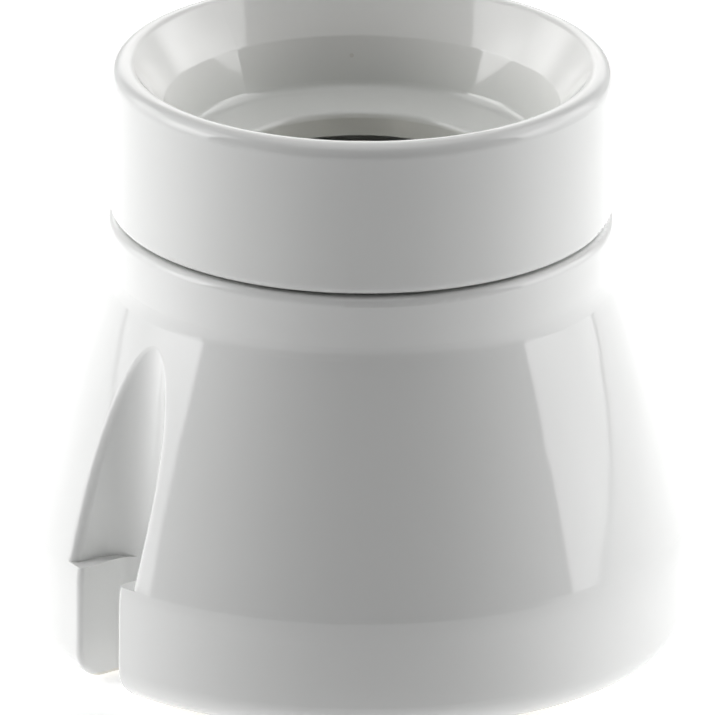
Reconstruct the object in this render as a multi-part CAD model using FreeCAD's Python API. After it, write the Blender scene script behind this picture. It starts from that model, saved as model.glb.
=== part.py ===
import FreeCAD, Part
import os
import math

from FreeCAD import Vector

os.makedirs("parts", exist_ok=True)

# Porcelain base: a hood that stands on the wall or ceiling
BASE_R = 40.25
NECK_R = 30.3
BAND_TOP = 13.7
SHOULDER_Z = 45.0
NECK_H = 7.0
NECK_WALL = 5.0
CONE_BULGE = 0.47
FOOT_ROUND = 4.0
BAND_ROUND = 12.0
SHOULDER_ROUND = 5.0
NECK_ROUND = 1.0
NECK_MOUTH_ROUND = 0.8
HOOD_WALL = 5.2
CAVITY_ROOF_ROUND = 3.0
PARTITION_T = 5.0
THREAD_ROOM = 4.0
NECK_TOP = SHOULDER_Z + NECK_H
PARTITION_TOP = SHOULDER_Z - THREAD_ROOM
PARTITION_LOW = PARTITION_TOP - PARTITION_T
NECK_BORE_R = NECK_R - NECK_WALL

# Screwdriver scoops with a ledge and an open fixing slot, one at each end of X
SCOOP_R = 5.4
SCOOP_DEPTH_SHARE = 0.1206
SCOOP_X = NECK_R + SCOOP_DEPTH_SHARE * (BASE_R - NECK_R) + SCOOP_R
SCOOP_WALL = 4.5
SCOOP_ROUND = 1.1
LEDGE_Z = 14.6
SLOT_W = 7.0
SLOT_SET_IN = 2.35
SLOT_X = SCOOP_X - SLOT_SET_IN
SLOT_RUN_UP = 1.0
SLOT_ROUND = 0.7

# E27 screw shell, its thread left as a plain wall at the full diameter
SHELL_R = 13.35
SHELL_WALL = 0.4
SHELL_SINK = 0.8
SHELL_CUP_H = 5.4
SHELL_CUP_STEP = 0.45
SHELL_FLANGE_R = 9.0
SHELL_CUP_R = SHELL_R - SHELL_CUP_STEP

# Collar ring, screwed into the base's neck, its mouth just wider than the block's tower
SEAM = 0.35
COLLAR_H = 18.73
COLLAR_INSET = 0.3
COLLAR_FOOT_ROUND = 1.0
COLLAR_R = NECK_R - COLLAR_INSET
COLLAR_LOW = NECK_TOP + SEAM
COLLAR_TOP = COLLAR_LOW + COLLAR_H
RIM_W = 2.4
RIM_OUTER_ROUND = 1.8
RIM_INNER_ROUND = 1.0
FUNNEL_W = 3.9
FUNNEL_DEPTH = 5.18
FUNNEL_BULGE = 0.12
FUNNEL_ROUND = 0.8
THROAT_W = 2.1
THROAT_DEPTH = 5.9
FLOOR_FALL = 1.1
FLOOR_ROUND = 1.6
MOUTH_ROUND = 0.8
WEB_T = 2.85
SPIGOT_GAP = 0.3
SPIGOT_WALL = 4.0
RIM_CORNER_R = COLLAR_R - RIM_W
FUNNEL_R = RIM_CORNER_R - FUNNEL_W
FUNNEL_Z = COLLAR_TOP - FUNNEL_DEPTH
FLOOR_R = FUNNEL_R - THROAT_W
FLOOR_EDGE_Z = FUNNEL_Z - THROAT_DEPTH
MOUTH_Z = FLOOR_EDGE_Z - FLOOR_FALL
WEB_LOW = MOUTH_Z - WEB_T
SPIGOT_R = NECK_BORE_R - SPIGOT_GAP
SPIGOT_LOW = PARTITION_TOP + THREAD_ROOM

# Contact block: the unglazed insert that carries every live piece
BLOCK_SIDE_GAP = 2.0
BLOCK_R = SCOOP_X - SCOOP_R - SCOOP_WALL - BLOCK_SIDE_GAP
BLOCK_T = 10.0
BLOCK_FLOOR = 5.0
BLOCK_EDGE = 0.8
BLOCK_LOW = PARTITION_LOW - BLOCK_T
WELL_FLOOR = BLOCK_LOW + BLOCK_FLOOR
WELL_GAP = 0.15
WELL_R = SHELL_R + SHELL_WALL + WELL_GAP
TOWER_WALL = 1.4
TOWER_R = WELL_R + TOWER_WALL
TOWER_GAP = 0.9
TOWER_SEAM = 0.35
TOWER_TOP = WEB_LOW - TOWER_SEAM
MOUTH_GAP = 0.3
MOUTH_R = TOWER_R + MOUTH_GAP
SHELL_TOP = TOWER_TOP - SHELL_SINK
SHELL_STEP_Z = WELL_FLOOR + SHELL_CUP_H
RIB_X = 4.0
RIB_W = 3.0
RIB_H = 4.5
RIB_END_GAP = 8.0
RIB_HALF_LENGTH = BLOCK_R - RIB_END_GAP

# Centre contact
LEAF_T = 0.4
LEAF_W = 5.0
LEAF_CREEPAGE = 1.8
LEAF_HEEL_X = LEAF_CREEPAGE - SHELL_FLANGE_R
LEAF_BEND_X = 4.4
LEAF_RISE = 3.2
LEAF_TIP_X = -2.4
BUTTON_R = 3.0
BUTTON_H = 1.2
BUTTON_SHANK_R = 0.8
BUTTON_TAIL_R = 1.4
BUTTON_TAIL_H = 0.4

# Rivets
RIVET_R = 1.2
RIVET_HEAD_R = 1.8
RIVET_HEAD_H = 0.7
RIVET_EDGE = 2.3
SPRING_RIVET_X = LEAF_HEEL_X + RIVET_EDGE
SHELL_RIVET_TURN = 27.0
SHELL_RIVET_PITCH_R = (SHELL_FLANGE_R + SHELL_CUP_R) / 2
SHELL_RIVET_X = SHELL_RIVET_PITCH_R * math.cos(math.radians(SHELL_RIVET_TURN))
SHELL_RIVET_Y = SHELL_RIVET_PITCH_R * math.sin(math.radians(SHELL_RIVET_TURN))

# Terminals and their clamps
PLATE_T = 1.2
PLATE_HALF_W = 4.5
PLATE_WING = 3.1
PLATE_MARGIN = 2.8
PLATE_CORNER = 1.5
PLATE_RIVET_MARGIN = 2.3
PLATE_WING_MARGIN = 3.4
PLATE_END_X = BLOCK_R - PLATE_MARGIN
LINE_PLATE_INNER_X = -SPRING_RIVET_X - PLATE_RIVET_MARGIN
NEUTRAL_PLATE_INNER_X = SHELL_RIVET_X - PLATE_RIVET_MARGIN
PLATE_WIDE_X = SHELL_RIVET_X + PLATE_WING_MARGIN
CLAMP_SET_IN = 7.0
TERMINAL_X = BLOCK_R - CLAMP_SET_IN
THREAD_COLLAR_WALL = 0.9
THREAD_COLLAR_H = 2.0
THREAD_COLLAR_GAP = 0.6
THREAD_HOLE_DEPTH = 4.8
CLAMP_R = 1.7
THREAD_COLLAR_R = CLAMP_R + THREAD_COLLAR_WALL
THREAD_HOLE_R = THREAD_COLLAR_R + THREAD_COLLAR_GAP
CLAMP_LENGTH = 6.2
CLAMP_TIP = 0.45
CLAMP_HEAD_R = 3.3
CLAMP_HEAD_H = 2.4
CLAMP_SLOT_W = 0.9
CLAMP_SLOT_D = 1.1
CLAMP_HEAD_ROUND = 0.7
LAND = 0.08
WASHER_T = 1.0
WASHER_HALF = 4.5
WASHER_LIP_H = 1.7
WASHER_HOLE_GAP = 0.1
LIP_GAP = 0.3

# Screws that hold the block up against the partition, midway between tower and neck bore
BLOCK_SCREW_Y = (TOWER_R + NECK_BORE_R) / 2
BLOCK_SCREW_R = 1.5
BLOCK_SCREW_LENGTH = BLOCK_T + PARTITION_T + 1.0
BLOCK_HEAD_R = 2.8
BLOCK_HEAD_H = 2.0
BLOCK_HEAD_ROUND = 0.8
BLOCK_SLOT_W = 0.8
BLOCK_SLOT_D = 1.0
BLOCK_WASHER_R = 3.5
BLOCK_WASHER_T = 0.5
NUT_AF = 5.5
NUT_H = 2.4
NUT_CHAMFER = 0.35
POCKET_GAP = 0.15
SCREW_CLEARANCE = 0.3

# Fits
RUNNING = 0.05
RIVET_FIT = 0.05
HOLE_FIT = 0.05

# Reach of a cutting tool past the face it starts from, and the tolerance for finding edges
PAST = 1.0
BEYOND = 40.0
FIND = 0.02
UP = Vector(0, 0, 1)


def turned(start, *steps):
    """Revolve a half-section about the lamp axis. A step is a corner, or an arc's (mid, end)."""
    edges = []
    here = Vector(0, start[0], start[1])
    for step in steps + (start,):
        if isinstance(step[0], tuple):
            middle = Vector(0, *step[0])
            there = Vector(0, *step[1])
            edges.append(Part.Arc(here, middle, there).toShape())
        else:
            there = Vector(0, *step)
            edges.append(Part.makeLine(here, there))
        here = there
    return Part.Face(Part.Wire(edges)).revolve(Vector(), UP, 360)


def rod(radius, low, high, x=0.0, y=0.0):
    """An upright cylinder between two heights."""
    return Part.makeCylinder(radius, high - low, Vector(x, y, low), UP)


def slab(x_low, x_high, half_width, low, high):
    """A box centred across Y."""
    return Part.makeBox(x_high - x_low, 2 * half_width, high - low,
                        Vector(x_low, -half_width, low))


def at_both_ends(shape):
    """The shape with its copy turned half a turn about the lamp axis."""
    twin = shape.copy()
    twin.rotate(Vector(), UP, 180)
    return shape.fuse(twin)


def turned_half(shape):
    """The shape carried to the other end of X."""
    twin = shape.copy()
    twin.rotate(Vector(), UP, 180)
    return twin


def rims(shape, radius, height):
    """Circular edges about the lamp axis at one radius and height."""
    found = []
    for edge in shape.Edges:
        curve = edge.Curve
        if not isinstance(curve, Part.Circle):
            continue
        on_axis = math.hypot(curve.Center.x, curve.Center.y) < FIND
        if on_axis and abs(curve.Radius - radius) < FIND and abs(curve.Center.z - height) < FIND:
            found.append(edge)
    return found


def edges_where(shape, test):
    """Edges on which every sampled point passes the test."""
    found = []
    for edge in shape.Edges:
        if all(test(point) for point in edge.discretize(7)):
            found.append(edge)
    return found


def bulged(low, high, bulge):
    """Middle of a gentle arc that stands proud of the straight line between two corners."""
    run = high[0] - low[0]
    rise = high[1] - low[1]
    length = math.hypot(run, rise)
    return ((low[0] + high[0]) / 2 + bulge * rise / length,
            (low[1] + high[1]) / 2 - bulge * run / length)


def hood_skin(foot):
    """Outer form of the base as one solid from a foot height: upright band, cone and neck."""
    band = (BASE_R, BAND_TOP)
    shoulder = (NECK_R, SHOULDER_Z)
    skin = turned((0, foot), (BASE_R, foot), band,
                  (bulged(band, shoulder, CONE_BULGE), shoulder),
                  (NECK_R, NECK_TOP), (0, NECK_TOP))
    skin = skin.makeFillet(BAND_ROUND, rims(skin, BASE_R, BAND_TOP))
    skin = skin.makeFillet(SHOULDER_ROUND, rims(skin, NECK_R, SHOULDER_Z))
    return skin.makeFillet(NECK_ROUND, rims(skin, NECK_R, NECK_TOP))


def on_scoop_wall(point):
    """True on the scoop's upright wall and off the seam where its round end meets its sides."""
    out = abs(point.x) - SCOOP_X
    if out < -FIND:
        return abs(math.hypot(out, point.y) - SCOOP_R) < FIND
    return out > FIND and abs(abs(point.y) - SCOOP_R) < FIND


def scooped_hood():
    """The hood with its two scoops: rounded channels above the ledges, whole below them."""
    channel = rod(SCOOP_R, -2 * BEYOND, BEYOND + LEDGE_Z, SCOOP_X)
    channel = channel.fuse(slab(SCOOP_X, SCOOP_X + BEYOND, SCOOP_R, -2 * BEYOND,
                                BEYOND + LEDGE_Z)).removeSplitter()
    upper = hood_skin(-BEYOND).cut(at_both_ends(channel))
    upper = upper.makeFillet(SCOOP_ROUND, [edge for edge in upper.Edges if is_arch(edge)])
    upper = upper.cut(rod(2 * BASE_R, -2 * BEYOND, LEDGE_Z))
    lower = hood_skin(0)
    lower = lower.makeFillet(FOOT_ROUND, rims(lower, BASE_R, 0))
    return lower.cut(rod(2 * BASE_R, LEDGE_Z, LEDGE_Z + BEYOND)).fuse(upper).removeSplitter()


def is_arch(edge):
    """True for the edges where a scoop's wall breaks through the outer skin."""
    points = edge.discretize(9)
    heights = [point.z for point in points]
    if max(heights) - min(heights) < FIND:
        return False
    inner = points[1:-1]
    return all(on_scoop_wall(point) for point in inner)


def is_slot_lip(edge):
    """True for the upright edges where a slot runs out through the band."""
    points = edge.discretize(5)
    if max(p.z for p in points) - min(p.z for p in points) < FIND:
        return False
    return all(abs(p.x) > SLOT_X + FIND and abs(abs(p.y) - SLOT_W / 2) < FIND for p in points)


def cut_slots(skin):
    """Open the two fixing slots, their lips and foot edges rounded as the glaze leaves them."""
    top = LEDGE_Z + SLOT_RUN_UP
    slot = rod(SLOT_W / 2, -PAST, top, SLOT_X)
    slot = slot.fuse(slab(SLOT_X, SLOT_X + BEYOND, SLOT_W / 2, -PAST, top))
    open_skin = skin.cut(at_both_ends(slot))
    return open_skin.makeFillet(SLOT_ROUND, [edge for edge in open_skin.Edges if is_slot_lip(edge)])


def cavity():
    """The hollow under the hood, kept clear of the scoops by a local wall round each."""
    band = (BASE_R - HOOD_WALL, BAND_TOP)
    slope = (BASE_R - NECK_R) / (SHOULDER_Z - BAND_TOP)
    roof = (BASE_R - HOOD_WALL - slope * (PARTITION_LOW - BAND_TOP), PARTITION_LOW)
    hollow = turned((0, -PAST), (band[0], -PAST), band, (bulged(band, roof, CONE_BULGE), roof),
                    (0, PARTITION_LOW))
    hollow = hollow.makeFillet(BAND_ROUND, rims(hollow, *band))
    hollow = hollow.makeFillet(CAVITY_ROOF_ROUND, rims(hollow, *roof))
    pillar = rod(SCOOP_R + SCOOP_WALL, -2 * PAST, PARTITION_LOW + PAST, SCOOP_X)
    return hollow.cut(at_both_ends(pillar))


def make_base():
    """The glazed porcelain base."""
    base = cut_slots(scooped_hood())
    base = base.cut(cavity())
    base = base.cut(rod(NECK_BORE_R, PARTITION_TOP, NECK_TOP + PAST))
    base = base.cut(rod(TOWER_R + TOWER_GAP, PARTITION_LOW - PAST, PARTITION_TOP + PAST))
    for side in (-1, 1):
        hole = rod(BLOCK_SCREW_R + SCREW_CLEARANCE, PARTITION_LOW - PAST, PARTITION_TOP + PAST,
                   0, side * BLOCK_SCREW_Y)
        base = base.cut(hole)
    return base.makeFillet(NECK_MOUTH_ROUND, rims(base, NECK_BORE_R, NECK_TOP))


def make_collar():
    """The glazed ring: rounded rim, funnel, dished floor round the mouth, and a spigot below."""
    funnel = (FUNNEL_R, FUNNEL_Z)
    crest = (RIM_CORNER_R, COLLAR_TOP)
    spigot_inner = SPIGOT_R - SPIGOT_WALL
    ring = turned((MOUTH_R, WEB_LOW), (spigot_inner, WEB_LOW), (spigot_inner, SPIGOT_LOW),
                  (SPIGOT_R, SPIGOT_LOW), (SPIGOT_R, COLLAR_LOW), (COLLAR_R, COLLAR_LOW),
                  (COLLAR_R, COLLAR_TOP), crest, (bulged(crest, funnel, FUNNEL_BULGE), funnel),
                  (FLOOR_R, FLOOR_EDGE_Z), (MOUTH_R, MOUTH_Z))
    ring = ring.makeFillet(FUNNEL_ROUND, rims(ring, *funnel))
    ring = ring.makeFillet(RIM_INNER_ROUND, rims(ring, *crest))
    ring = ring.makeFillet(RIM_OUTER_ROUND, rims(ring, COLLAR_R, COLLAR_TOP))
    ring = ring.makeFillet(FLOOR_ROUND, rims(ring, FLOOR_R, FLOOR_EDGE_Z))
    ring = ring.makeFillet(MOUTH_ROUND, rims(ring, MOUTH_R, MOUTH_Z))
    return ring.makeFillet(COLLAR_FOOT_ROUND, rims(ring, COLLAR_R, COLLAR_LOW))


def hexagon(across_flats, low, high, y):
    """An upright hexagonal prism on the Y axis."""
    corner = across_flats / math.sqrt(3)
    points = []
    for turn in range(7):
        angle = math.radians(60 * turn)
        points.append(Vector(corner * math.cos(angle), y + corner * math.sin(angle), low))
    return Part.Face(Part.makePolygon(points)).extrude(Vector(0, 0, high - low))


def rivet_holes(low, high):
    """Holes for the spring's rivet and the shell's two rivets."""
    radius = RIVET_R + RIVET_FIT
    holes = rod(radius, low, high, SPRING_RIVET_X)
    for side in (-1, 1):
        holes = holes.fuse(rod(radius, low, high, SHELL_RIVET_X, side * SHELL_RIVET_Y))
    return holes


def make_block():
    """The porcelain insert: a disc under the partition, a tower with the lamp's well, a rib."""
    disc = rod(BLOCK_R, BLOCK_LOW, PARTITION_LOW)
    disc = disc.makeFillet(BLOCK_EDGE, rims(disc, BLOCK_R, BLOCK_LOW))
    tower = rod(TOWER_R, PARTITION_LOW, TOWER_TOP)
    tower = tower.makeFillet(BLOCK_EDGE, rims(tower, TOWER_R, TOWER_TOP))
    rib = Part.makeBox(RIB_W, 2 * RIB_HALF_LENGTH, RIB_H,
                       Vector(RIB_X - RIB_W / 2, -RIB_HALF_LENGTH, BLOCK_LOW - RIB_H))
    rib = rib.makeFillet(BLOCK_EDGE, edges_where(rib, lambda p: p.z < BLOCK_LOW - RIB_H + FIND))
    block = disc.fuse(tower).fuse(rib).removeSplitter()
    block = block.cut(rod(WELL_R, WELL_FLOOR, TOWER_TOP + PAST))
    block = block.cut(rivet_holes(BLOCK_LOW - PAST, WELL_FLOOR + PAST))
    for side in (-1, 1):
        y = side * BLOCK_SCREW_Y
        block = block.cut(rod(THREAD_HOLE_R, BLOCK_LOW - PAST, BLOCK_LOW + THREAD_HOLE_DEPTH,
                              side * TERMINAL_X))
        block = block.cut(rod(BLOCK_SCREW_R + SCREW_CLEARANCE, BLOCK_LOW - PAST,
                              PARTITION_LOW + PAST, 0, y))
        block = block.cut(hexagon(NUT_AF + 2 * POCKET_GAP, BLOCK_LOW - PAST, nut_top(), y))
    return block


def nut_top():
    """Roof of the hexagonal pockets, against which the nuts are drawn."""
    return BLOCK_LOW + NUT_H + NUT_CHAMFER


def make_shell():
    """The drawn screw shell: threaded length, slightly narrower cup and riveted flange."""
    outer = SHELL_R + SHELL_WALL
    cup = SHELL_CUP_R + SHELL_WALL
    step = SHELL_STEP_Z - SHELL_WALL
    floor = WELL_FLOOR + SHELL_WALL
    shell = turned((SHELL_FLANGE_R, WELL_FLOOR), (cup, WELL_FLOOR), (cup, step), (outer, step),
                   (outer, SHELL_TOP), (SHELL_R, SHELL_TOP), (SHELL_R, SHELL_STEP_Z),
                   (SHELL_CUP_R, SHELL_STEP_Z), (SHELL_CUP_R, floor), (SHELL_FLANGE_R, floor))
    return shell.cut(rivet_holes(WELL_FLOOR - PAST, floor + PAST))


def make_rivet(x, y, bottom, top):
    """A rivet set at both ends, its upper head domed."""
    shank = rod(RIVET_R, bottom, top, x, y)
    head = rod(RIVET_HEAD_R, top, top + RIVET_HEAD_H, x, y)
    crown = [edge for edge in head.Edges if edge.BoundBox.ZMin > top + RIVET_HEAD_H - FIND]
    head = head.makeFillet(RIVET_HEAD_H - LAND, crown)
    tail = rod(RIVET_HEAD_R, bottom - RIVET_HEAD_H, bottom, x, y)
    heel = [edge for edge in tail.Edges if edge.BoundBox.ZMax < bottom - RIVET_HEAD_H + FIND]
    tail = tail.makeFillet(RIVET_HEAD_H / 2, heel)
    return shank.fuse(head).fuse(tail).removeSplitter()


def make_leaf():
    """The hairpin spring under the centre contact, one strip folded over on itself."""
    low = WELL_FLOOR
    high = WELL_FLOOR + LEAF_RISE
    outer_mid = Vector(LEAF_BEND_X + LEAF_RISE / 2, 0, (low + high) / 2)
    inner_mid = outer_mid - Vector(LEAF_T, 0, 0)
    corners = [Vector(LEAF_HEEL_X, 0, low), Vector(LEAF_BEND_X, 0, low),
               Vector(LEAF_BEND_X, 0, high), Vector(LEAF_TIP_X, 0, high),
               Vector(LEAF_TIP_X, 0, high - LEAF_T), Vector(LEAF_BEND_X, 0, high - LEAF_T),
               Vector(LEAF_BEND_X, 0, low + LEAF_T), Vector(LEAF_HEEL_X, 0, low + LEAF_T)]
    edges = [Part.makeLine(corners[0], corners[1]),
             Part.Arc(corners[1], outer_mid, corners[2]).toShape(),
             Part.makeLine(corners[2], corners[3]),
             Part.makeLine(corners[3], corners[4]),
             Part.makeLine(corners[4], corners[5]),
             Part.Arc(corners[5], inner_mid, corners[6]).toShape(),
             Part.makeLine(corners[6], corners[7]),
             Part.makeLine(corners[7], corners[0])]
    strip = Part.Face(Part.Wire(edges)).extrude(Vector(0, LEAF_W, 0))
    strip.translate(Vector(0, -LEAF_W / 2, 0))
    strip = strip.cut(rivet_holes(low - PAST, low + PAST))
    return strip.cut(rod(BUTTON_SHANK_R + HOLE_FIT, high - PAST, high + PAST))


def make_button():
    """The domed brass contact that the lamp presses on, set through the leaf's free end."""
    seat = WELL_FLOOR + LEAF_RISE
    dome = rod(BUTTON_R, seat, seat + BUTTON_H)
    dome = dome.makeFillet(BUTTON_H - LAND, rims(dome, BUTTON_R, seat + BUTTON_H))
    tail = rod(BUTTON_TAIL_R, seat - LEAF_T - BUTTON_TAIL_H, seat - LEAF_T)
    return dome.fuse(rod(BUTTON_SHANK_R, seat - LEAF_T, seat)).fuse(tail).removeSplitter()


def plate_outline(corners):
    """A flat plate under the block from its corners in X and Y, mirrored across Y."""
    there = [Vector(x, y, BLOCK_LOW - PLATE_T) for x, y in corners]
    back = [Vector(x, -y, BLOCK_LOW - PLATE_T) for x, y in reversed(corners)]
    face = Part.Face(Part.makePolygon(there + back + there[:1]))
    plate = face.extrude(Vector(0, 0, PLATE_T))
    ends = [edge for edge in plate.Edges
            if edge.BoundBox.ZLength > PLATE_T - FIND and is_plate_corner(edge, corners)]
    return plate.makeFillet(PLATE_CORNER, ends)


def is_plate_corner(edge, corners):
    """True for the plate's outward corners, at its first and last stations."""
    x = edge.Vertexes[0].X
    return abs(x - corners[0][0]) < FIND or abs(x - corners[-1][0]) < FIND


def add_thread_collar(plate):
    """Raise the plate's extruded collar and bore it for the clamp screw."""
    collar = rod(THREAD_COLLAR_R, BLOCK_LOW, BLOCK_LOW + THREAD_COLLAR_H, TERMINAL_X)
    hole = rod(CLAMP_R + RUNNING, BLOCK_LOW - PLATE_T - PAST,
               BLOCK_LOW + THREAD_COLLAR_H + PAST, TERMINAL_X)
    return plate.fuse(collar).cut(hole).removeSplitter()


def make_line_terminal():
    """The plate from the line clamp in under the centre contact's rivet."""
    plate = plate_outline([(LINE_PLATE_INNER_X, PLATE_HALF_W), (PLATE_END_X, PLATE_HALF_W)])
    plate = turned_half(add_thread_collar(plate))
    return plate.cut(rivet_holes(BLOCK_LOW - PLATE_T - PAST, BLOCK_LOW + PAST))


def make_neutral_terminal():
    """The T-shaped plate from the neutral clamp in under the shell's two rivets."""
    wide = PLATE_HALF_W + PLATE_WING
    plate = plate_outline([(NEUTRAL_PLATE_INNER_X, wide), (PLATE_WIDE_X, wide),
                           (PLATE_WIDE_X, PLATE_HALF_W), (PLATE_END_X, PLATE_HALF_W)])
    return add_thread_collar(plate).cut(rivet_holes(BLOCK_LOW - PLATE_T - PAST, BLOCK_LOW + PAST))


def make_clamp_washer():
    """The square captive washer, its lip hooked over the end of the terminal plate."""
    top = BLOCK_LOW - PLATE_T
    low = top - WASHER_T
    lip_x = PLATE_END_X + LIP_GAP
    washer = slab(TERMINAL_X - WASHER_HALF, lip_x + WASHER_T, WASHER_HALF, low, top)
    washer = washer.fuse(slab(lip_x, lip_x + WASHER_T, WASHER_HALF, low, low + WASHER_LIP_H))
    washer = washer.removeSplitter()
    washer = washer.cut(rod(CLAMP_R + WASHER_HOLE_GAP, low - PAST, top + PAST, TERMINAL_X))
    heel = edges_where(washer, lambda p: p.z < low + FIND and p.x > lip_x + WASHER_T - FIND)
    return washer.makeFillet(WASHER_T - LAND, heel)


def make_clamp_screw():
    """The slotted clamp screw, put in from below with its head hanging down."""
    seat = BLOCK_LOW - PLATE_T - WASHER_T
    low = seat - CLAMP_HEAD_H
    head = rod(CLAMP_HEAD_R, low, seat, TERMINAL_X)
    crown = [edge for edge in head.Edges if edge.BoundBox.ZMax < low + FIND]
    head = head.makeFillet(CLAMP_HEAD_ROUND, crown)
    slot = Part.makeBox(2 * CLAMP_HEAD_R, CLAMP_SLOT_W, CLAMP_SLOT_D + PAST,
                        Vector(TERMINAL_X - CLAMP_HEAD_R, -CLAMP_SLOT_W / 2, low - PAST))
    shank = rod(CLAMP_R, seat, seat + CLAMP_LENGTH, TERMINAL_X)
    tip = [edge for edge in shank.Edges if edge.BoundBox.ZMin > seat + CLAMP_LENGTH - FIND]
    shank = shank.makeChamfer(CLAMP_TIP, tip)
    return head.cut(slot).fuse(shank).removeSplitter()


def make_block_screw(y):
    """A pan-headed screw let down through the partition and the block into its nut."""
    seat = PARTITION_TOP + BLOCK_WASHER_T
    head = rod(BLOCK_HEAD_R, seat, seat + BLOCK_HEAD_H, 0, y)
    crown = [edge for edge in head.Edges if edge.BoundBox.ZMin > seat + BLOCK_HEAD_H - FIND]
    head = head.makeFillet(BLOCK_HEAD_ROUND, crown)
    slot = Part.makeBox(2 * BLOCK_HEAD_R, BLOCK_SLOT_W, BLOCK_SLOT_D + PAST,
                        Vector(-BLOCK_HEAD_R, y - BLOCK_SLOT_W / 2,
                               seat + BLOCK_HEAD_H - BLOCK_SLOT_D))
    shank = rod(BLOCK_SCREW_R, seat - BLOCK_SCREW_LENGTH, seat, 0, y)
    return head.cut(slot).fuse(shank).removeSplitter()


def make_block_washer(y):
    """The plain washer under the screw's head."""
    washer = rod(BLOCK_WASHER_R, PARTITION_TOP, PARTITION_TOP + BLOCK_WASHER_T, 0, y)
    return washer.cut(rod(BLOCK_SCREW_R + HOLE_FIT, PARTITION_TOP - PAST,
                          PARTITION_TOP + BLOCK_WASHER_T + PAST, 0, y))


def make_block_nut(y):
    """The hexagon nut in its pocket, its corners turned off at both faces."""
    top = nut_top()
    low = top - NUT_H
    corner = NUT_AF / math.sqrt(3)
    blank = turned((0, low), (corner - NUT_CHAMFER, low), (corner, low + NUT_CHAMFER),
                   (corner, top - NUT_CHAMFER), (corner - NUT_CHAMFER, top), (0, top))
    blank.translate(Vector(0, y, 0))
    nut = hexagon(NUT_AF, low, top, y).common(blank)
    return nut.cut(rod(BLOCK_SCREW_R + HOLE_FIT, low - PAST, top + PAST, 0, y))


def build():
    """Every separate piece of the holder by its name."""
    plate_low = BLOCK_LOW - PLATE_T
    shell_floor = WELL_FLOOR + SHELL_WALL
    washer = make_clamp_washer()
    screw = make_clamp_screw()
    return {
        "base_body": make_base(),
        "collar_ring": make_collar(),
        "contact_block": make_block(),
        "screw_shell": make_shell(),
        "shell_rivet_front": make_rivet(SHELL_RIVET_X, -SHELL_RIVET_Y, plate_low, shell_floor),
        "shell_rivet_back": make_rivet(SHELL_RIVET_X, SHELL_RIVET_Y, plate_low, shell_floor),
        "centre_spring": make_leaf(),
        "centre_button": make_button(),
        "spring_rivet": make_rivet(SPRING_RIVET_X, 0, plate_low, WELL_FLOOR + LEAF_T),
        "line_terminal": make_line_terminal(),
        "neutral_terminal": make_neutral_terminal(),
        "line_clamp_washer": turned_half(washer),
        "neutral_clamp_washer": washer,
        "line_clamp_screw": turned_half(screw),
        "neutral_clamp_screw": screw,
        "block_screw_front": make_block_screw(-BLOCK_SCREW_Y),
        "block_screw_back": make_block_screw(BLOCK_SCREW_Y),
        "block_washer_front": make_block_washer(-BLOCK_SCREW_Y),
        "block_washer_back": make_block_washer(BLOCK_SCREW_Y),
        "block_nut_front": make_block_nut(-BLOCK_SCREW_Y),
        "block_nut_back": make_block_nut(BLOCK_SCREW_Y),
    }


for name, shape in build().items():
    shape.exportStep("parts/" + name + ".step")
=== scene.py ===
import math
import bmesh
import bpy
from mathutils import Matrix, Vector


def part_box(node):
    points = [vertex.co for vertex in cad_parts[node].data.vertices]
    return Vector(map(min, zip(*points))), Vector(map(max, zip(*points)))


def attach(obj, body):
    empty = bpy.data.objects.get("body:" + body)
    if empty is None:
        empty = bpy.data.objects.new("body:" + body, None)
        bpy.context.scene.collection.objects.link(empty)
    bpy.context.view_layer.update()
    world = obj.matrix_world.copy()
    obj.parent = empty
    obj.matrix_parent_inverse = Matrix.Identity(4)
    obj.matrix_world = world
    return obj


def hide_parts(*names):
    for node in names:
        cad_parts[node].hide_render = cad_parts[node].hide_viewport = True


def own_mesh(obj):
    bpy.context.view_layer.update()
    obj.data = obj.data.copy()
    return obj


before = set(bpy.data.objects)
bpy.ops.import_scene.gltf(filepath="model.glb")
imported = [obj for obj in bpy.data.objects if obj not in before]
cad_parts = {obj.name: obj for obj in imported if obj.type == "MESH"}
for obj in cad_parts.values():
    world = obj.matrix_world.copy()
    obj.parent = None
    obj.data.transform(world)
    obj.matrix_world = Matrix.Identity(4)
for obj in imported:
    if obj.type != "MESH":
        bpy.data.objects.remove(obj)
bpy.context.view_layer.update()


# Base: a slip-cast porcelain hood under a thick clear glaze. The glaze pools a little, carries a
# few fine specks, and is wiped off the foot that stands on the wall and off the neck's bore.
BODY_WHITE = (0.860, 0.863, 0.857, 1)
POOLED_WHITE = (0.840, 0.846, 0.836, 1)
SPECK_BROWN = (0.50, 0.44, 0.36, 1)
BISQUE = (0.80, 0.775, 0.72, 1)
SPECK_SIZE = 0.045
SPECK_SHOWS = 0.22
FOOT_WIPE = 0.0006
WIPE_WANDER = 0.0002
BORE_R = 0.0256
BORE_FLOOR = 0.0409
GLAZE_IOR = 1.54
GLAZE_GLOSS = 0.05
RIPPLE_DULL = 0.03
BARE_DULL = 0.6
RIPPLE_H = 0.00012
TOOTH_H = 0.00006
GLAZE_BUMP = 0.35


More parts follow.
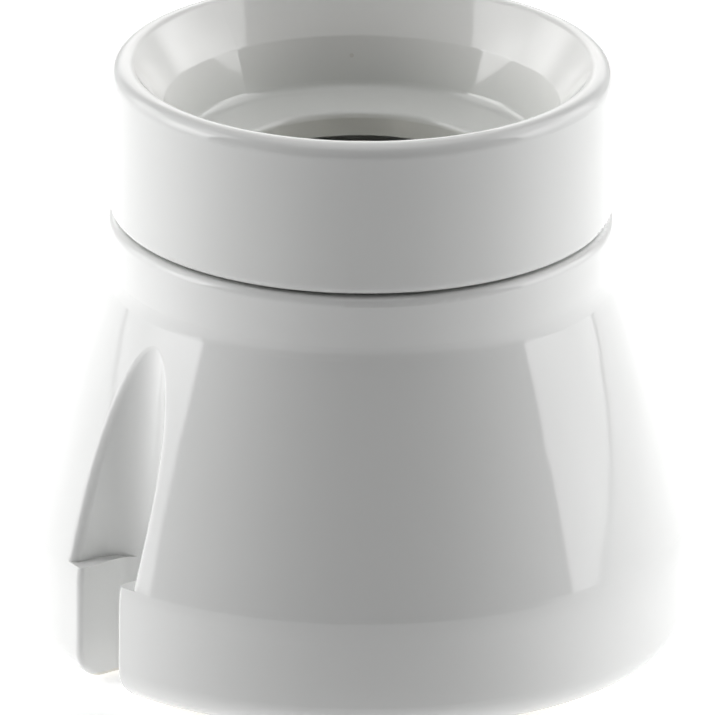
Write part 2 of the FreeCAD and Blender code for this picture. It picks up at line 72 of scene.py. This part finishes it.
class Wire:
    """A shader socket that takes part in plain arithmetic and starts the next node."""

    def __init__(self, socket):
        self.socket = socket

    def _feed(self, slot, value):
        if isinstance(value, Wire):
            self.socket.id_data.links.new(value.socket, slot)
        else:
            slot.default_value = value

    def _math(self, operation, *values):
        node = self.socket.id_data.nodes.new("ShaderNodeMath")
        node.operation = operation
        for slot, value in zip(node.inputs, values):
            self._feed(slot, value)
        return Wire(node.outputs[0])

    def __add__(self, other):
        return self._math("ADD", self, other)

    def __radd__(self, other):
        return self._math("ADD", other, self)

    def __sub__(self, other):
        return self._math("SUBTRACT", self, other)

    def __rsub__(self, other):
        return self._math("SUBTRACT", other, self)

    def __mul__(self, other):
        return self._math("MULTIPLY", self, other)

    def __rmul__(self, other):
        return self._math("MULTIPLY", other, self)

    def __truediv__(self, other):
        return self._math("DIVIDE", self, other)

    def __pow__(self, other):
        return self._math("POWER", self, other)

    def __gt__(self, other):
        return self._math("GREATER_THAN", self, other)

    def __lt__(self, other):
        return self._math("LESS_THAN", self, other)

    def node(self, kind, settings=None, out=0, **sockets):
        """Any other node: its type, its settings, then its sockets by name."""
        node = self.socket.id_data.nodes.new("ShaderNode" + kind)
        for name, value in (settings or {}).items():
            setattr(node, name, value)
        for name, value in sockets.items():
            free = [slot for slot in node.inputs if slot.enabled and slot.identifier == name]
            self._feed(free[0] if free else node.inputs[name.replace("_", " ")], value)
        return Wire(node.outputs[out])


def start_finish(name):
    """A new material, its shader and the place of each point on the piece."""
    finish = bpy.data.materials.new(name)
    finish.use_nodes = True
    place = Wire(finish.node_tree.nodes.new("ShaderNodeTexCoord").outputs["Object"])
    return finish, finish.node_tree.nodes["Principled BSDF"], place


def feed_shader(shader, **wires):
    """Join wires to the shader's sockets."""
    for name, wire in wires.items():
        shader.id_data.links.new(wire.socket, shader.inputs[name.replace("_", " ")])


def dress(finish, *names):
    """Put a finish on nodes of the frame."""
    for name in names:
        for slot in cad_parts[name].material_slots:
            slot.material = finish


def split(place, axes="XYZ"):
    """The parts of a place or a direction, along each axis that is named."""
    return [place.node("SeparateXYZ", out=axis, Vector=place) for axis in axes]


def blend_colours(share, first, second):
    """From the first colour to the second as share goes from 0 to 1."""
    return share.node("Mix", {"data_type": "RGBA"}, out=2, Factor_Float=share, A_Color=first,
                      B_Color=second)


def relief(height, strength):
    """Surface normals of a fine relief, its height in metres."""
    return height.node("Bump", Height=height, Strength=strength, Distance=1.0)


def glaze_pattern(place, ripple_scale, speck_scale, rare_scale, rare_above):
    """A glaze's slow ripple, the clay's fine grain under it and a few scattered specks."""
    ripple = place.node("TexNoise", Vector=place, Scale=ripple_scale, Detail=2.0, Roughness=0.5)
    grain = place.node("TexNoise", Vector=place, Scale=1800.0, Detail=3.0, Roughness=0.6)
    speck = place.node("TexVoronoi", Vector=place, Scale=speck_scale)
    rare = place.node("TexNoise", Vector=place, Scale=rare_scale, Detail=0.0)
    return ripple, grain, (speck < SPECK_SIZE) * (rare > rare_above)


base_glaze, shader, place = start_finish("base_glaze")
x, y, z = split(place)
ripple, grain, specks = glaze_pattern(place, ripple_scale=60.0, speck_scale=160.0,
                                      rare_scale=95.0, rare_above=0.66)
radius = (x * x + y * y) ** 0.5
foot_bare = (z + grain * (2 * WIPE_WANDER)) < FOOT_WIPE + WIPE_WANDER
bare = foot_bare + (radius < BORE_R) * (z > BORE_FLOOR)
pooled = blend_colours(ripple, POOLED_WHITE, BODY_WHITE)
glazed = blend_colours(specks * SPECK_SHOWS, pooled, SPECK_BROWN)
feed_shader(shader, Base_Color=blend_colours(bare, glazed, BISQUE),
            Roughness=GLAZE_GLOSS + ripple * RIPPLE_DULL + bare * BARE_DULL,
            Normal=relief(ripple * RIPPLE_H + grain * bare * TOOTH_H, GLAZE_BUMP))
shader.inputs["IOR"].default_value = GLAZE_IOR
dress(base_glaze, "base_body")


# Collar ring: cast and glazed like the base. Its outside is painted a little darker than the
# base as painted shade; the funnel and rim top are painted lightest as painted light, and turn
# greyer down towards the dished floor as painted shade. Its spigot is left bare, with the coarse
# thread that screws into the neck.
# Painted light and shade: the outside white is painted darker, the funnel white lighter, and the
# grey also serves as painted shade down at the dished floor.
RING_PAINTED_SHADE_WHITE = (0.795, 0.800, 0.792, 1)
FUNNEL_PAINTED_LIGHT = (0.925, 0.925, 0.908, 1)
RING_GREY_AND_FLOOR_SHADE = (0.790, 0.800, 0.778, 1)
RIPPLE_TONE = 0.2
FUNNEL_R = 0.0288
FUNNEL_SOFT = 0.0006
SPIGOT_R = 0.0253
SPIGOT_TOP = 0.0524
FLOOR_Z = 0.0600
FUNNEL_Z = 0.0680
RING_THREAD = 0.0035
RING_THREAD_H = 0.0004


def eased(value, start, end):
    """From 0 at start to 1 at end, with soft ends."""
    return value.node("MapRange", {"interpolation_type": "SMOOTHSTEP"}, Value=value,
                      From_Min=start, From_Max=end)


def spiral(x, y, z, pitch):
    """The wave of a right-hand thread round an axis along Z, between -1 and 1."""
    turn = y.node("Math", {"operation": "ARCTAN2"}, Value=y, Value_001=x) / math.tau
    return z.node("Math", {"operation": "SINE"}, Value=(z / pitch - turn) * math.tau)


ring_glaze, shader, place = start_finish("ring_glaze")
x, y, z = split(place)
ripple, grain, specks = glaze_pattern(place, ripple_scale=65.0, speck_scale=170.0,
                                      rare_scale=100.0, rare_above=0.67)
radius = (x * x + y * y) ** 0.5
bare = (radius < SPIGOT_R) * (z < SPIGOT_TOP)
# painted light and shade: the funnel and rim top are painted lightest, fading to grey painted
# shade down at the dished floor
funnel_painted_light_and_shade = blend_colours(eased(z, FLOOR_Z, FUNNEL_Z), RING_GREY_AND_FLOOR_SHADE, FUNNEL_PAINTED_LIGHT)
# painted shade: the collar's outside is painted darker than the base's glaze, with a random ripple
# of grey
outer_painted_shade = blend_colours(ripple * RIPPLE_TONE, RING_PAINTED_SHADE_WHITE, RING_GREY_AND_FLOOR_SHADE)
inside = eased(radius, FUNNEL_R + FUNNEL_SOFT, FUNNEL_R - FUNNEL_SOFT)
ring_tone = blend_colours(inside, outer_painted_shade, funnel_painted_light_and_shade)
glazed = blend_colours(specks * SPECK_SHOWS, ring_tone, SPECK_BROWN)
thread = spiral(x, y, z, RING_THREAD) * RING_THREAD_H
feed_shader(shader, Base_Color=blend_colours(bare, glazed, BISQUE),
            Roughness=GLAZE_GLOSS + ripple * RIPPLE_DULL + bare * BARE_DULL,
            Normal=relief(ripple * RIPPLE_H + bare * (thread + grain * TOOTH_H), GLAZE_BUMP))
shader.inputs["IOR"].default_value = GLAZE_IOR
dress(ring_glaze, "collar_ring")


# Contact block: pressed porcelain fired without glaze, creamy and matt, with the fine tooth of
# the pressing and a little dust in its pores.
BLOCK_CREAM = (0.79, 0.765, 0.70, 1)
BLOCK_DUST = (0.66, 0.64, 0.585, 1)
CLOUD_SHOWS = 0.6
PORES_SHOW = 0.3
PORE_SIZE = 0.12
PORES_ABOVE = 0.5
BLOCK_MATT = 0.55
TOOTH_MATT = 0.25
CLAY_TOOTH_H = 0.00003
PORE_DEPTH = 0.00005
CLAY_BUMP = 0.6
block_clay, shader, place = start_finish("block_clay")
cloud = place.node("TexNoise", Vector=place, Scale=140.0, Detail=4.0, Roughness=0.6)
tooth = place.node("TexNoise", Vector=place, Scale=2600.0, Detail=2.0, Roughness=0.7)
pore = place.node("TexVoronoi", Vector=place, Scale=900.0)
pores = (pore < PORE_SIZE) * (cloud > PORES_ABOVE)
dust = cloud * CLOUD_SHOWS + pores * PORES_SHOW
feed_shader(shader, Base_Color=blend_colours(dust, BLOCK_CREAM, BLOCK_DUST),
            Roughness=BLOCK_MATT + tooth * TOOTH_MATT,
            Normal=relief(tooth * CLAY_TOOTH_H - pores * PORE_DEPTH, CLAY_BUMP))
dress(block_clay, "contact_block")


# Screw shell: thin brass drawn to a cup, its thread rolled in as a wave, then nickelled. The
# wave dies out at the plain lip and at the step above the cup.
SHELL_WALL = 0.0004
SHELL_R = 0.01335
CUP_R = 0.0129
FLANGE_R = 0.0090
STEP_H = 0.0054
THREAD_PITCH = 0.00363
THREAD_DEPTH = 0.0010
FADE = 0.0016
ROUND = 0.0006
ROUND_MID = 0.3
STEP_START = 0.1
ROWS = 74
TURN_STEPS = 128
MERGE = 1e-7
NICKEL = (0.80, 0.775, 0.72, 1)
NICKEL_FILM = (0.66, 0.62, 0.54, 1)
DRAWN_LINES = (300.0, 300.0, 9000.0)
NICKEL_GLOSS = 0.18
NICKEL_FILM_DULL = 0.14
DRAWN_DULL = 0.08
METAL_LINE_H = 0.000012
METAL_BUMP = 0.5
low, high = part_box("screw_shell")
foot = low[2] + SHELL_WALL
step_z = low[2] + STEP_H
build = bmesh.new()
line = [build.verts.new(point) for point in (
    (FLANGE_R, 0, foot), (CUP_R - ROUND, 0, foot),
    (CUP_R - ROUND_MID * ROUND, 0, foot + ROUND_MID * ROUND), (CUP_R, 0, foot + ROUND),
    (CUP_R, 0, step_z - ROUND),
    (CUP_R + STEP_START * ROUND, 0, step_z - ROUND_MID * ROUND))]
for row in range(ROWS + 1):
    line.append(build.verts.new((SHELL_R, 0, step_z + (high[2] - step_z) * row / ROWS)))
edges = [build.edges.new(pair) for pair in zip(line, line[1:])]
bmesh.ops.spin(build, geom=line + edges, cent=(0, 0, 0), axis=(0, 0, 1), angle=math.tau,
               steps=TURN_STEPS, use_merge=True)
bmesh.ops.remove_doubles(build, verts=build.verts, dist=MERGE)
for vert in build.verts:
    if vert.co.z < step_z:
        continue
    fade = min((vert.co.z - step_z) / FADE, (high[2] - vert.co.z) / FADE, 1.0)
    ease = fade * fade * (3 - 2 * fade)
    phase = math.tau * vert.co.z / THREAD_PITCH - math.atan2(vert.co.y, vert.co.x)
    radius_here = SHELL_R - THREAD_DEPTH * ease * (0.5 - 0.5 * math.cos(phase))
    scale = radius_here / math.hypot(vert.co.x, vert.co.y)
    vert.co.x *= scale
    vert.co.y *= scale
bmesh.ops.recalc_face_normals(build, faces=build.faces)
# the rolled face looks at the axis, so that the wall thickens away from it
top_face = max(build.faces, key=lambda face: face.calc_center_median().z)
middle = top_face.calc_center_median()
if top_face.normal.x * middle.x + top_face.normal.y * middle.y > 0:
    bmesh.ops.reverse_faces(build, faces=build.faces)
shell_mesh = bpy.data.meshes.new("rolled_shell")
build.to_mesh(shell_mesh)
build.free()
shell_mesh.shade_smooth()
rolled_shell = bpy.data.objects.new("rolled_shell", shell_mesh)
bpy.context.scene.collection.objects.link(rolled_shell)
sheet = rolled_shell.modifiers.new("sheet", "SOLIDIFY")
sheet.thickness = SHELL_WALL
sheet.offset = -1
sheet.use_even_offset = True


def lined(place, stretch, detail, **settings):
    """Noise drawn out into fine lines, as drawing, rolling and blanking leave them."""
    stretched = place.node("VectorMath", {"operation": "MULTIPLY"}, Vector=place,
                           Vector_001=stretch)
    return place.node("TexNoise", Vector=stretched, Scale=1.0, Detail=detail, **settings)


nickel, shader, place = start_finish("nickelled_shell")
drawn = lined(place, DRAWN_LINES, 3.0, Roughness=0.6)
film = place.node("TexNoise", Vector=place, Scale=220.0, Detail=3.0, Roughness=0.55)
feed_shader(shader, Base_Color=blend_colours(film, NICKEL, NICKEL_FILM),
            Roughness=NICKEL_GLOSS + film * NICKEL_FILM_DULL + drawn * DRAWN_DULL,
            Normal=relief(drawn * METAL_LINE_H, METAL_BUMP))
shader.inputs["Metallic"].default_value = 1.0
shell_mesh.materials.append(nickel)
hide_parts("screw_shell")
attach(rolled_shell, "base")


# Rivets, centre contact and terminal plates: turned, headed and blanked brass, dulled to a warm
# brown film away from the bright marks of the tools.
BRASS = (0.78, 0.60, 0.30, 1)
BRASS_FILM = (0.50, 0.35, 0.17, 1)
FILM_GATHERS = 1.6
BRASS_GLOSS = 0.22
BRASS_FILM_DULL = 0.25
BLANK_LINES = (400.0, 6000.0, 2500.0)
FILM_H = 0.00001
brass, shader, place = start_finish("blanked_brass")
film = place.node("TexNoise", Vector=place, Scale=420.0, Detail=5.0, Roughness=0.6)
scratch = lined(place, BLANK_LINES, 2.0)
feed_shader(shader, Base_Color=blend_colours(film ** FILM_GATHERS, BRASS, BRASS_FILM),
            Roughness=BRASS_GLOSS + film * BRASS_FILM_DULL,
            Normal=relief(scratch * FILM_H + film * FILM_H, METAL_BUMP))
shader.inputs["Metallic"].default_value = 1.0
dress(brass, "shell_rivet_front", "shell_rivet_back", "spring_rivet", "centre_button",
      "line_terminal", "neutral_terminal")


# Centre spring: a strip of rolled phosphor bronze folded to a hairpin, redder than the brass, with
# the grain of the rolling along it. In use its upper leg sinks with the centre contact while its
# heel stays riveted to the floor of the well; here the strip is built in one shape.
STRIP_T = 0.0004
BEND_X = 0.0044
TIP_X = -0.0024
BEND_STEPS = 24
BRONZE = (0.72, 0.46, 0.29, 1)
BRONZE_BLOOM = (0.48, 0.29, 0.20, 1)
ROLLED_LINES = (250.0, 7000.0, 2000.0)
BLOOM_SHOWS = 0.6
ROLLED_SHOWS = 0.3
BRONZE_GLOSS = 0.2
ROLLED_DULL = 0.2
low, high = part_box("centre_spring")
heel_z = low[2] + STRIP_T / 2
tip_z = high[2] - STRIP_T / 2
bend_z = (heel_z + tip_z) / 2
bend_r = (tip_z - heel_z) / 2
build = bmesh.new()
line = [build.verts.new((low[0], low[1], heel_z))]
for step in range(BEND_STEPS + 1):
    turn = math.pi * step / BEND_STEPS
    line.append(build.verts.new((BEND_X + bend_r * math.sin(turn), low[1],
                                 bend_z - bend_r * math.cos(turn))))
line.append(build.verts.new((TIP_X, low[1], tip_z)))
edges = [build.edges.new(pair) for pair in zip(line, line[1:])]
wide = bmesh.ops.extrude_edge_only(build, edges=edges)
far_side = [piece for piece in wide["geom"] if isinstance(piece, bmesh.types.BMVert)]
bmesh.ops.translate(build, verts=far_side, vec=(0, high[1] - low[1], 0))
bmesh.ops.recalc_face_normals(build, faces=build.faces)
spring_mesh = bpy.data.meshes.new("hairpin_spring")
build.to_mesh(spring_mesh)
build.free()
hairpin_spring = bpy.data.objects.new("hairpin_spring", spring_mesh)
bpy.context.scene.collection.objects.link(hairpin_spring)
strip = hairpin_spring.modifiers.new("strip", "SOLIDIFY")
strip.thickness = STRIP_T
strip.offset = 0
strip.use_even_offset = True
bronze, shader, place = start_finish("rolled_bronze")
rolled = lined(place, ROLLED_LINES, 3.0, Roughness=0.6)
bloom = place.node("TexNoise", Vector=place, Scale=350.0, Detail=4.0, Roughness=0.6)
aged = bloom * BLOOM_SHOWS + rolled * ROLLED_SHOWS
feed_shader(shader, Base_Color=blend_colours(aged, BRONZE, BRONZE_BLOOM),
            Roughness=BRONZE_GLOSS + rolled * ROLLED_DULL,
            Normal=relief(rolled * METAL_LINE_H, METAL_BUMP))
shader.inputs["Metallic"].default_value = 1.0
spring_mesh.materials.append(bronze)
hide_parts("centre_spring")
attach(hairpin_spring, "base")
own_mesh(hairpin_spring)


# Clamp screws and block screws: cold-headed steel with rolled threads, zinc plated. The thread
# is a fine spiral round each shank, which has its own axis.
ZINC = (0.64, 0.66, 0.68, 1)
ZINC_BLOOM = (0.52, 0.53, 0.52, 1)
CLAMP_PITCH = 0.0007
CLAMP_SHANK_R = 0.0019
BLOCK_PITCH = 0.0005
BLOCK_SHANK_R = 0.0017
SCREW_THREAD_H = 0.00012
BLOOM_H = 0.00001
ZINC_GLOSS = 0.25
BLOOM_DULL = 0.25
for name, pitch, shank_r in (("line_clamp_screw", CLAMP_PITCH, CLAMP_SHANK_R),
                             ("neutral_clamp_screw", CLAMP_PITCH, CLAMP_SHANK_R),
                             ("block_screw_front", BLOCK_PITCH, BLOCK_SHANK_R),
                             ("block_screw_back", BLOCK_PITCH, BLOCK_SHANK_R)):
    low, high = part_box(name)
    zinc, shader, place = start_finish(name + "_zinc")
    x, y, z = split(place)
    x = x - (low[0] + high[0]) / 2
    y = y - (low[1] + high[1]) / 2
    on_shank = ((x * x + y * y) ** 0.5) < shank_r
    bloom = place.node("TexNoise", Vector=place, Scale=500.0, Detail=4.0, Roughness=0.6)
    thread = on_shank * spiral(x, y, z, pitch) * SCREW_THREAD_H
    feed_shader(shader, Base_Color=blend_colours(bloom, ZINC, ZINC_BLOOM),
                Roughness=ZINC_GLOSS + bloom * BLOOM_DULL,
                Normal=relief(thread + bloom * BLOOM_H, METAL_BUMP))
    shader.inputs["Metallic"].default_value = 1.0
    dress(zinc, name)


# Washers and nuts: blanked and pressed steel, zinc plated, with a mottled bloom and the faint
# lines of the sheet they came from.
SHEET_ZINC = (0.66, 0.68, 0.70, 1)
SHEET_BLOOM = (0.50, 0.51, 0.50, 1)
SHEET_LINES = (300.0, 5000.0, 5000.0)
plate, shader, place = start_finish("zinc_plate")
bloom = place.node("TexNoise", Vector=place, Scale=450.0, Detail=4.0, Roughness=0.6)
sheet_lines = lined(place, SHEET_LINES, 2.0)
feed_shader(shader, Base_Color=blend_colours(bloom, SHEET_ZINC, SHEET_BLOOM),
            Roughness=ZINC_GLOSS + bloom * BLOOM_DULL,
            Normal=relief(sheet_lines * BLOOM_H + bloom * BLOOM_H, METAL_BUMP))
shader.inputs["Metallic"].default_value = 1.0
dress(plate, "line_clamp_washer", "neutral_clamp_washer", "block_washer_front",
      "block_washer_back", "block_nut_front", "block_nut_back")


# Floor: a large matt white sheet, lit through from below so that it clears to white beside and
# behind the holder. Each ring of the glow starts at a reach from the middle, over a soft edge, and
# opens from the front between two bearings.
FLOOR_SIZE = 3.0
FLOOR_DROP = 0.0003
FLOOR_WHITE = (0.9, 0.9, 0.9, 1)
FLOOR_DULL = 0.9
FRONT = math.radians(-40)
GLOW_UNDER = 0.45
GLOW_RINGS = ((0.045, 0.004, 0.58, 20, 58), (0.10, 0.02, 0.70, 50, 90),
              (0.25, 0.08, 0.60, 50, 100))


def bearing_from_front(x, y):
    """Degrees round the Z axis from the front, positive to the right."""
    ahead = x * math.sin(FRONT) - y * math.cos(FRONT)
    aside = x * math.cos(FRONT) + y * math.sin(FRONT)
    turn = x.node("Math", {"operation": "ARCTAN2"}, Value=aside, Value_001=ahead)
    return turn * math.degrees(1)


floor_mesh = bpy.data.meshes.new("floor")
build = bmesh.new()
bmesh.ops.create_grid(build, x_segments=1, y_segments=1, size=FLOOR_SIZE)
bmesh.ops.translate(build, verts=build.verts, vec=(0, 0, -FLOOR_DROP))
build.to_mesh(floor_mesh)
build.free()
floor = bpy.data.objects.new("floor", floor_mesh)
bpy.context.scene.collection.objects.link(floor)
white, shader, place = start_finish("floor_white")
x, y = split(place, "XY")
radius = (x * x + y * y) ** 0.5
bearing = bearing_from_front(x, y)
bearing = bearing.node("Math", {"operation": "ABSOLUTE"}, Value=bearing)
glow = GLOW_UNDER
for reach, fade, strength, shut, opened in GLOW_RINGS:
    ring = strength * eased(bearing, shut, opened)
    glow = glow + eased(radius, reach - fade, reach + fade) * (ring - glow)
feed_shader(shader, Emission_Color=glow.node("CombineColor", Red=glow, Green=glow, Blue=glow))
shader.inputs["Emission Strength"].default_value = 1.0
shader.inputs["Base Color"].default_value = FLOOR_WHITE
shader.inputs["Roughness"].default_value = FLOOR_DULL
floor_mesh.materials.append(white)


# Camera: a long lens that stands well back, to the front left and a little above the holder. It
# is rolled by half a degree and aims just below and beside the middle of the holder.
AZIMUTH = math.radians(-39.5)
ELEVATION = math.radians(20.56)
ROLL = math.radians(0.504)
DISTANCE = 2.1928
LENS = 920.5
SENSOR = 36
FAR_CLIP = 20
HEART_Z = 0.036
AIM_LEFT = 0.000267
AIM_DOWN = 0.002513
back = Vector((math.sin(AZIMUTH) * math.cos(ELEVATION),
               -math.cos(AZIMUTH) * math.cos(ELEVATION), math.sin(ELEVATION)))
right = Vector((math.cos(AZIMUTH), math.sin(AZIMUTH), 0))
heart = Vector((0, 0, HEART_Z))
stand = heart + back * DISTANCE
aim = heart - right * AIM_LEFT - back.cross(right) * AIM_DOWN
camera = bpy.data.cameras.new("camera")
camera.sensor_width = SENSOR
camera.lens = LENS
camera.clip_end = FAR_CLIP
eye = bpy.data.objects.new("camera", camera)
bpy.context.scene.collection.objects.link(eye)
facing = (aim - stand).to_track_quat("-Z", "Y").to_matrix().to_4x4()
eye.matrix_world = Matrix.Translation(stand) @ facing @ Matrix.Rotation(ROLL, 4, "Z")
bpy.context.scene.camera = eye


# Lights: two tall soft boxes beside and behind the holder with a crisp front edge, a soft glow
# right round the back and a small one overhead. Nothing stands on the camera's side.
# Each row holds the bearing it starts from, then its strength 6, 22, 42 and 60 degrees up.
LEFT_BOX = ((73, 3.0, 4.9, 2.7, 0.2), (100, 1.6, 2.8, 1.3, 0.8), (130, 0.7, 0.5, 0.2, 0.2),
            (155, 0.7, 1.8, 0.5, 0.2))
RIGHT_BOX = ((78, 2.6, 3.9, 2.3, 0.2), (100, 2.0, 3.2, 2.1, 1.0), (130, 0.7, 0.5, 0.2, 0.2),
             (155, 0.7, 1.8, 0.5, 0.2))
ROW_EDGES = (12, 32, 52, 68)
ROW_SOFT = 6
FRONT_SOFT = 1
BACK_SOFT = 8
BESIDE = 90
OVERHEAD = 1.0
CONTRAST = 0.94
world = bpy.data.worlds.new("studio")
bpy.context.scene.world = world
world.use_nodes = True
sky = world.node_tree.nodes["Background"]
sky.inputs["Color"].default_value = (1, 1, 1, 1)
toward = Wire(world.node_tree.nodes.new("ShaderNodeTexCoord").outputs["Generated"])
x, y, z = split(toward)
bearing = bearing_from_front(x, y)
height = z.node("Math", {"operation": "ARCSINE"}, Value=z) * math.degrees(1)
lift = [eased(height, edge - ROW_SOFT, edge + ROW_SOFT) for edge in ROW_EDGES]
glow = lift[3] * OVERHEAD
for side, box in ((-1, LEFT_BOX), (1, RIGHT_BOX)):
    before = (0.0, 0.0, 0.0, 0.0)
    for start, *rows in box:
        low_step, mid_step, high_step, top_step = (now - was for now, was in zip(rows, before))
        before = rows
        soft = FRONT_SOFT if start < BESIDE else BACK_SOFT
        column = (low_step + lift[0] * (mid_step - low_step) + lift[1] * (high_step - mid_step)
                  + lift[2] * (top_step - high_step) - lift[3] * top_step)
        glow = glow + eased(bearing * side, start - soft, start + soft) * column
world.node_tree.links.new((glow * (z > 0)).socket, sky.inputs["Strength"])
bpy.context.scene.view_settings.view_transform = "Standard"
bpy.context.scene.view_settings.gamma = CONTRAST
